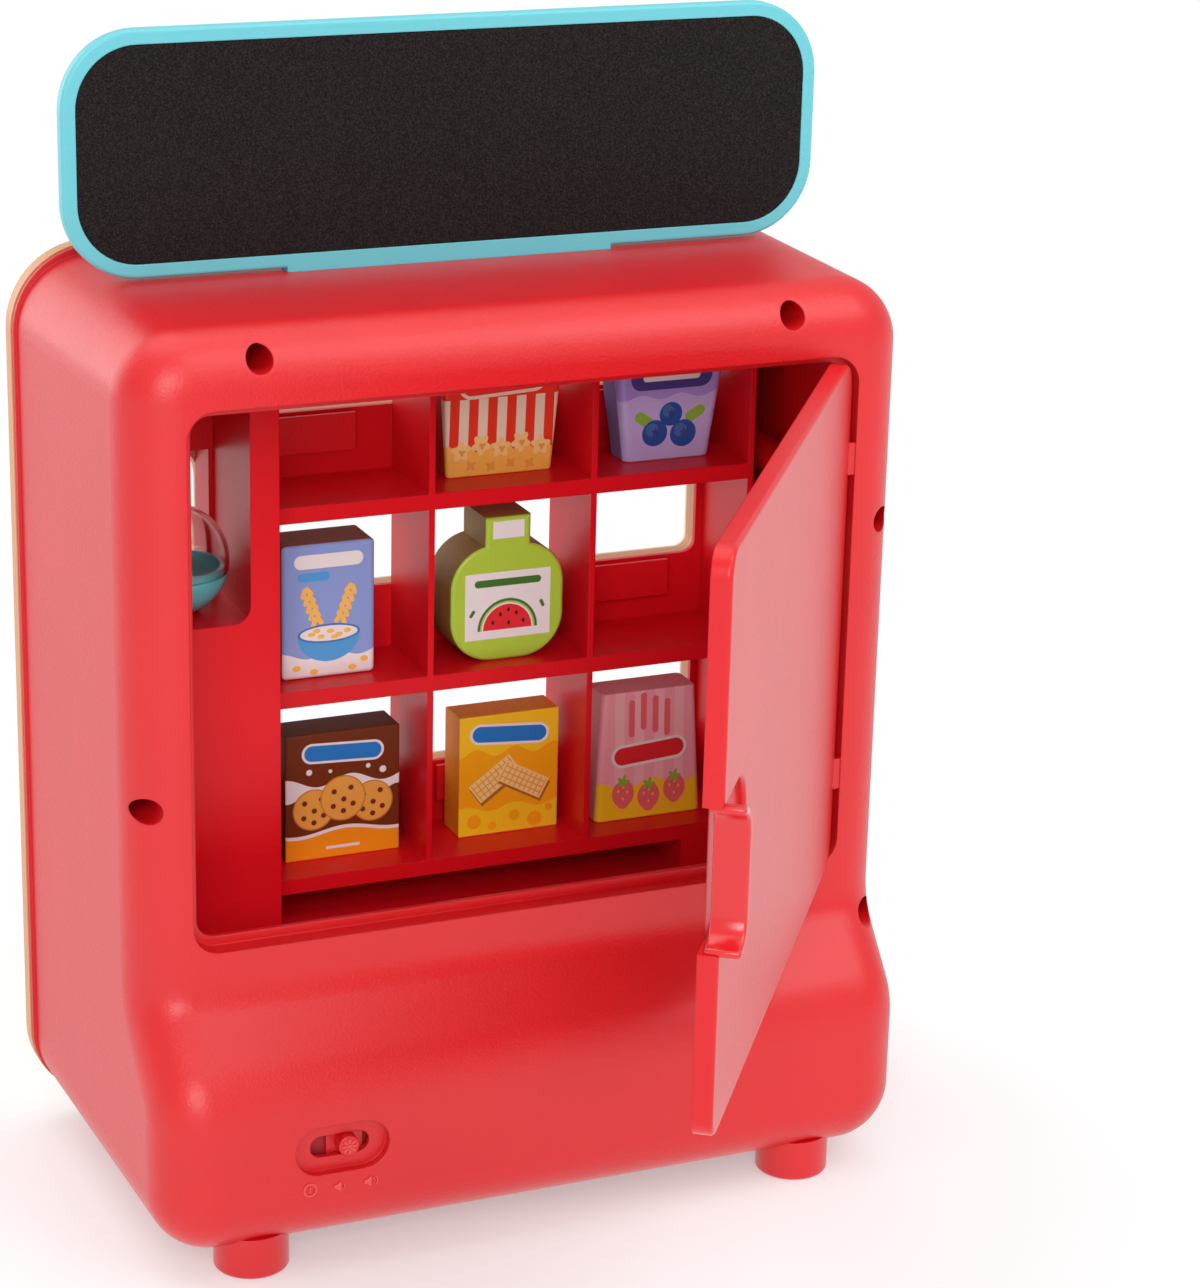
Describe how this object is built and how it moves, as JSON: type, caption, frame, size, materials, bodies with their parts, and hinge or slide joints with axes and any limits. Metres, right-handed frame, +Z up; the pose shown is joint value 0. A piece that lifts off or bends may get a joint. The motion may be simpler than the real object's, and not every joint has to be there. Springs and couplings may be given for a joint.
{
  "type": "toy vending machine",
  "caption": "Toy vending machine seen from its rear door, with shelved cells of toy snacks, a capsule column, selector buttons and a blackboard on top.",
  "frame": {"origin": "on the floor, under the middle of the bounding box with the door standing open", "axes": "+Z up, the front panel faces -Y, the rear door faces +Y, the capsule column is at +X"},
  "size_m": [0.354, 0.4078, 0.5036],
  "materials": {
    "red_shell": "satin moulded red plastic",
    "red_insert": "smooth moulded red plastic",
    "red_door": "smooth moulded red plastic",
    "red_foot": "smooth moulded red plastic",
    "red_trim": "smooth moulded red plastic",
    "red_button": "smooth moulded red plastic",
    "panel_wood": "layered board with a cream face and bare edges",
    "teal_wood": "painted board, satin",
    "chalkboard": "matt black chalk surface with a fine grain",
    "steel": "bright steel",
    "black_plastic": "matt black",
    "circuit_board": "green lacquer",
    "battery_case": "grey sleeve",
    "teal_plastic": "glossy teal plastic",
    "white_plastic": "plain white plastic",
    "yellow_plastic": "glossy yellow plastic",
    "clear_plastic": "clear plastic",
    "snack_brown": "printed wooden block",
    "snack_yellow": "printed wooden block",
    "snack_pink": "printed wooden block",
    "snack_blue": "printed wooden block",
    "snack_green": "printed wooden block",
    "snack_red": "printed wooden block",
    "snack_lilac": "printed wooden block"
  },
  "bodies": {
    "cabinet": {"rear_shell": "red_shell", "front_panel": "panel_wood", "cell_insert": "red_insert", "capsule_column": "red_insert", "inner_floor": "red_insert", "door_pins": "steel", "foot_rear_left": "red_foot", "foot_rear_right": "red_foot", "foot_front_left": "red_foot", "foot_front_right": "red_foot", "case_screws": "steel", "switch_body": "black_plastic", "sound_board": "circuit_board", "speaker": "black_plastic", "battery_box": "black_plastic", "battery_cells": "battery_case", "battery_cover": "red_trim", "cover_screw": "steel", "selector_springs": "steel", "coin_plate": "yellow_plastic", "coin_cup": "red_trim"},
    "door_leaf": {"door": "red_door"},
    "blackboard": {"board_frame": "teal_wood", "chalk_panel": "chalkboard"},
    "power_knob": {"power_slider": "red_trim"},
    "dispenser_knob": {"capsule_knob": "teal_plastic", "crank_disc": "white_plastic"},
    "gate": {"release_gate": "white_plastic"},
    "capsule_bowl": {"capsule_base": "teal_plastic"},
    "capsule_lid": {"capsule_dome": "clear_plastic"},
    "button_1": {"selector_button_1": "red_button"},
    "button_2": {"selector_button_2": "red_button"},
    "button_3": {"selector_button_3": "red_button"},
    "button_4": {"selector_button_4": "red_button"},
    "button_5": {"selector_button_5": "red_button"},
    "button_6": {"selector_button_6": "red_button"},
    "button_7": {"selector_button_7": "red_button"},
    "button_8": {"selector_button_8": "red_button"},
    "button_9": {"selector_button_9": "red_button"},
    "cookie_box_body": {"cookie_box": "snack_brown"},
    "wafer_box_body": {"wafer_box": "snack_yellow"},
    "biscuit_box_body": {"biscuit_box": "snack_pink"},
    "oat_milk_carton_body": {"oat_milk_carton": "snack_blue"},
    "melon_juice_bottle_body": {"melon_juice_bottle": "snack_green"},
    "popcorn_tub_body": {"popcorn_tub": "snack_red"},
    "yogurt_pot_body": {"yogurt_pot": "snack_lilac"}
  },
  "joints": [
    {"name": "door_hinge", "type": "hinge", "parent": "cabinet", "child": "door_leaf", "pos_m": [-0.1429, -0.03226, 0.254], "axis": [0, 0, 1], "range_deg": [-54.3, 38]},
    {"name": "board_lift", "type": "slide", "parent": "cabinet", "child": "blackboard", "axis": [0, 0, 1], "range_m": [0, 0.03]},
    {"name": "power_slide", "type": "slide", "parent": "cabinet", "child": "power_knob", "axis": [1, 0, 0], "range_m": [-0.005, 0.011]},
    {"name": "knob_turn", "type": "hinge", "parent": "cabinet", "child": "dispenser_knob", "pos_m": [0.1215, -0.18386, 0.208], "axis": [0, 1, 0], "range_deg": [0, 90.5]},
    {"name": "gate_slide", "type": "slide", "parent": "cabinet", "child": "gate", "axis": [0, 0, -1], "range_m": [0, 0.012]},
    {"name": "capsule_slide", "type": "slide", "parent": "cabinet", "child": "capsule_bowl", "axis": [0, 1, 0], "range_m": [0, 0.05]},
    {"name": "capsule_lid_lift", "type": "slide", "parent": "capsule_bowl", "child": "capsule_lid", "axis": [0, 0, 1], "range_m": [0, 0.03]},
    {"name": "button_1_press", "type": "slide", "parent": "cabinet", "child": "button_1", "axis": [0, 1, 0], "range_m": [0, 0.003], "stiffness_N_per_m": 150, "springref_m": -0.002},
    {"name": "button_2_press", "type": "slide", "parent": "cabinet", "child": "button_2", "axis": [0, 1, 0], "range_m": [0, 0.003], "stiffness_N_per_m": 150, "springref_m": -0.002},
    {"name": "button_3_press", "type": "slide", "parent": "cabinet", "child": "button_3", "axis": [0, 1, 0], "range_m": [0, 0.003], "stiffness_N_per_m": 150, "springref_m": -0.002},
    {"name": "button_4_press", "type": "slide", "parent": "cabinet", "child": "button_4", "axis": [0, 1, 0], "range_m": [0, 0.003], "stiffness_N_per_m": 150, "springref_m": -0.002},
    {"name": "button_5_press", "type": "slide", "parent": "cabinet", "child": "button_5", "axis": [0, 1, 0], "range_m": [0, 0.003], "stiffness_N_per_m": 150, "springref_m": -0.002},
    {"name": "button_6_press", "type": "slide", "parent": "cabinet", "child": "button_6", "axis": [0, 1, 0], "range_m": [0, 0.003], "stiffness_N_per_m": 150, "springref_m": -0.002},
    {"name": "button_7_press", "type": "slide", "parent": "cabinet", "child": "button_7", "axis": [0, 1, 0], "range_m": [0, 0.003], "stiffness_N_per_m": 150, "springref_m": -0.002},
    {"name": "button_8_press", "type": "slide", "parent": "cabinet", "child": "button_8", "axis": [0, 1, 0], "range_m": [0, 0.003], "stiffness_N_per_m": 150, "springref_m": -0.002},
    {"name": "button_9_press", "type": "slide", "parent": "cabinet", "child": "button_9", "axis": [0, 1, 0], "range_m": [0, 0.003], "stiffness_N_per_m": 150, "springref_m": -0.002},
    {"name": "cookie_box_slide", "type": "slide", "parent": "cabinet", "child": "cookie_box_body", "axis": [0, 1, 0], "range_m": [0, 0.08]},
    {"name": "wafer_box_slide", "type": "slide", "parent": "cabinet", "child": "wafer_box_body", "axis": [0, 1, 0], "range_m": [0, 0.08]},
    {"name": "biscuit_box_slide", "type": "slide", "parent": "cabinet", "child": "biscuit_box_body", "axis": [0, 1, 0], "range_m": [0, 0.08]},
    {"name": "oat_milk_carton_slide", "type": "slide", "parent": "cabinet", "child": "oat_milk_carton_body", "axis": [0, 1, 0], "range_m": [0, 0.08]},
    {"name": "melon_juice_bottle_slide", "type": "slide", "parent": "cabinet", "child": "melon_juice_bottle_body", "axis": [0, 1, 0], "range_m": [0, 0.08]},
    {"name": "popcorn_tub_slide", "type": "slide", "parent": "cabinet", "child": "popcorn_tub_body", "axis": [0, 1, 0], "range_m": [0, 0.08]},
    {"name": "yogurt_pot_slide", "type": "slide", "parent": "cabinet", "child": "yogurt_pot_body", "axis": [0, 1, 0], "range_m": [0, 0.08]}
  ],
  "couplings": [
    {"joint": "knob_turn", "follows": "gate_slide", "rad_per_m": 130.9}
  ]
}
